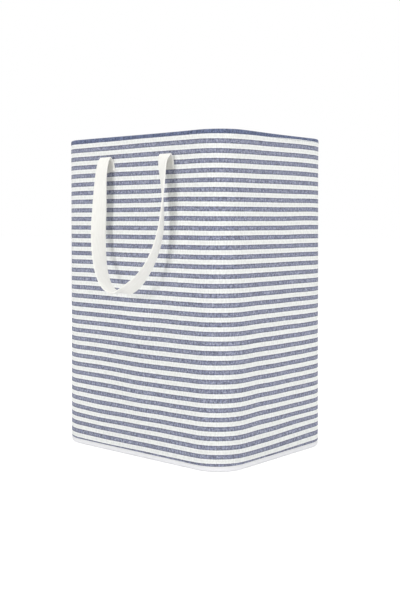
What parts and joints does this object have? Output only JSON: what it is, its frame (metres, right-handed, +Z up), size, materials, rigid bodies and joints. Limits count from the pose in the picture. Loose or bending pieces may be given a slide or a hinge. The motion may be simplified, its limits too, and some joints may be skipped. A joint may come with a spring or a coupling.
{
  "type": "laundry hamper",
  "caption": "Free-standing rectangular cloth laundry hamper with rounded corners, horizontal stripes, a wired rim, a board base, pull-out corner rods and long strap handles.",
  "frame": {"origin": "middle of the underside of the base cloth, on the floor", "axes": "+Z up through the mouth, +X along the long side, -Y out of the front face that carries a handle"},
  "size_m": [0.42, 0.4626, 0.6],
  "materials": {
    "striped_cloth": "matt plain weave, heathered blue and white stripes",
    "coated_lining": "smooth white waterproof coating on cloth",
    "base_cloth": "matt white coated plain weave",
    "tape": "white woven tape",
    "hook_tape": "white hook tape",
    "loop_tape": "white brushed loop tape",
    "spring_steel": "drawn steel wire",
    "board": "matt plastic sheet",
    "rod_tube": "drawn aluminium tube",
    "plug": "moulded plastic",
    "strap": "ivory cotton webbing"
  },
  "bodies": {
    "bag": {"outer_panel": "striped_cloth", "inner_lining": "coated_lining", "seam_binding": "tape", "rim_hem": "striped_cloth", "rim_wire": "spring_steel", "wire_ferrule": "spring_steel", "base_panel": "base_cloth", "base_board": "board", "base_lining": "coated_lining", "rod_sleeve_front_left": "tape", "rod_sleeve_front_right": "tape", "rod_sleeve_back_left": "tape", "rod_sleeve_back_right": "tape", "tab_anchor_front_left": "tape", "tab_anchor_front_right": "tape", "tab_anchor_back_left": "tape", "tab_anchor_back_right": "tape", "loop_pad_front_left": "loop_tape", "loop_pad_front_right": "loop_tape", "loop_pad_back_left": "loop_tape", "loop_pad_back_right": "loop_tape", "handle_ends_front": "strap", "handle_ends_back": "strap"},
    "handle_front": {"handle_strap_front": "strap"},
    "handle_back": {"handle_strap_back": "strap"},
    "rod_front_left": {"support_rod_front_left": "rod_tube", "rod_cap_front_left": "plug", "rod_foot_front_left": "plug"},
    "tab_front_left": {"rod_tab_front_left": "tape", "hook_pad_front_left": "hook_tape"},
    "rod_front_right": {"support_rod_front_right": "rod_tube", "rod_cap_front_right": "plug", "rod_foot_front_right": "plug"},
    "tab_front_right": {"rod_tab_front_right": "tape", "hook_pad_front_right": "hook_tape"},
    "rod_back_left": {"support_rod_back_left": "rod_tube", "rod_cap_back_left": "plug", "rod_foot_back_left": "plug"},
    "tab_back_left": {"rod_tab_back_left": "tape", "hook_pad_back_left": "hook_tape"},
    "rod_back_right": {"support_rod_back_right": "rod_tube", "rod_cap_back_right": "plug", "rod_foot_back_right": "plug"},
    "tab_back_right": {"rod_tab_back_right": "tape", "hook_pad_back_right": "hook_tape"}
  },
  "joints": [
    {"name": "handle_front_swing", "type": "hinge", "parent": "bag", "child": "handle_front", "pos_m": [0.01, -0.1743, 0.5593], "axis": [-1, 0, 0], "range_deg": [0, 165]},
    {"name": "handle_back_swing", "type": "hinge", "parent": "bag", "child": "handle_back", "pos_m": [-0.01, 0.1743, 0.5593], "axis": [1, 0, 0], "range_deg": [0, 165]},
    {"name": "rod_front_left_slide", "type": "slide", "parent": "bag", "child": "rod_front_left", "axis": [0, 0, 1], "range_m": [0, 0.56]},
    {"name": "tab_front_left_open", "type": "hinge", "parent": "bag", "child": "tab_front_left", "pos_m": [-0.20008, -0.13051, 0.5625], "axis": [0, 0, 1], "range_deg": [0, 110]},
    {"name": "rod_front_right_slide", "type": "slide", "parent": "bag", "child": "rod_front_right", "axis": [0, 0, 1], "range_m": [0, 0.56]},
    {"name": "tab_front_right_open", "type": "hinge", "parent": "bag", "child": "tab_front_right", "pos_m": [0.17551, -0.15507, 0.5625], "axis": [0, 0, 1], "range_deg": [0, 110]},
    {"name": "rod_back_left_slide", "type": "slide", "parent": "bag", "child": "rod_back_left", "axis": [0, 0, 1], "range_m": [0, 0.56]},
    {"name": "tab_back_left_open", "type": "hinge", "parent": "bag", "child": "tab_back_left", "pos_m": [-0.17551, 0.15507, 0.5625], "axis": [0, 0, 1], "range_deg": [0, 110]},
    {"name": "rod_back_right_slide", "type": "slide", "parent": "bag", "child": "rod_back_right", "axis": [0, 0, 1], "range_m": [0, 0.56]},
    {"name": "tab_back_right_open", "type": "hinge", "parent": "bag", "child": "tab_back_right", "pos_m": [0.20008, 0.13051, 0.5625], "axis": [0, 0, 1], "range_deg": [0, 110]}
  ]
}
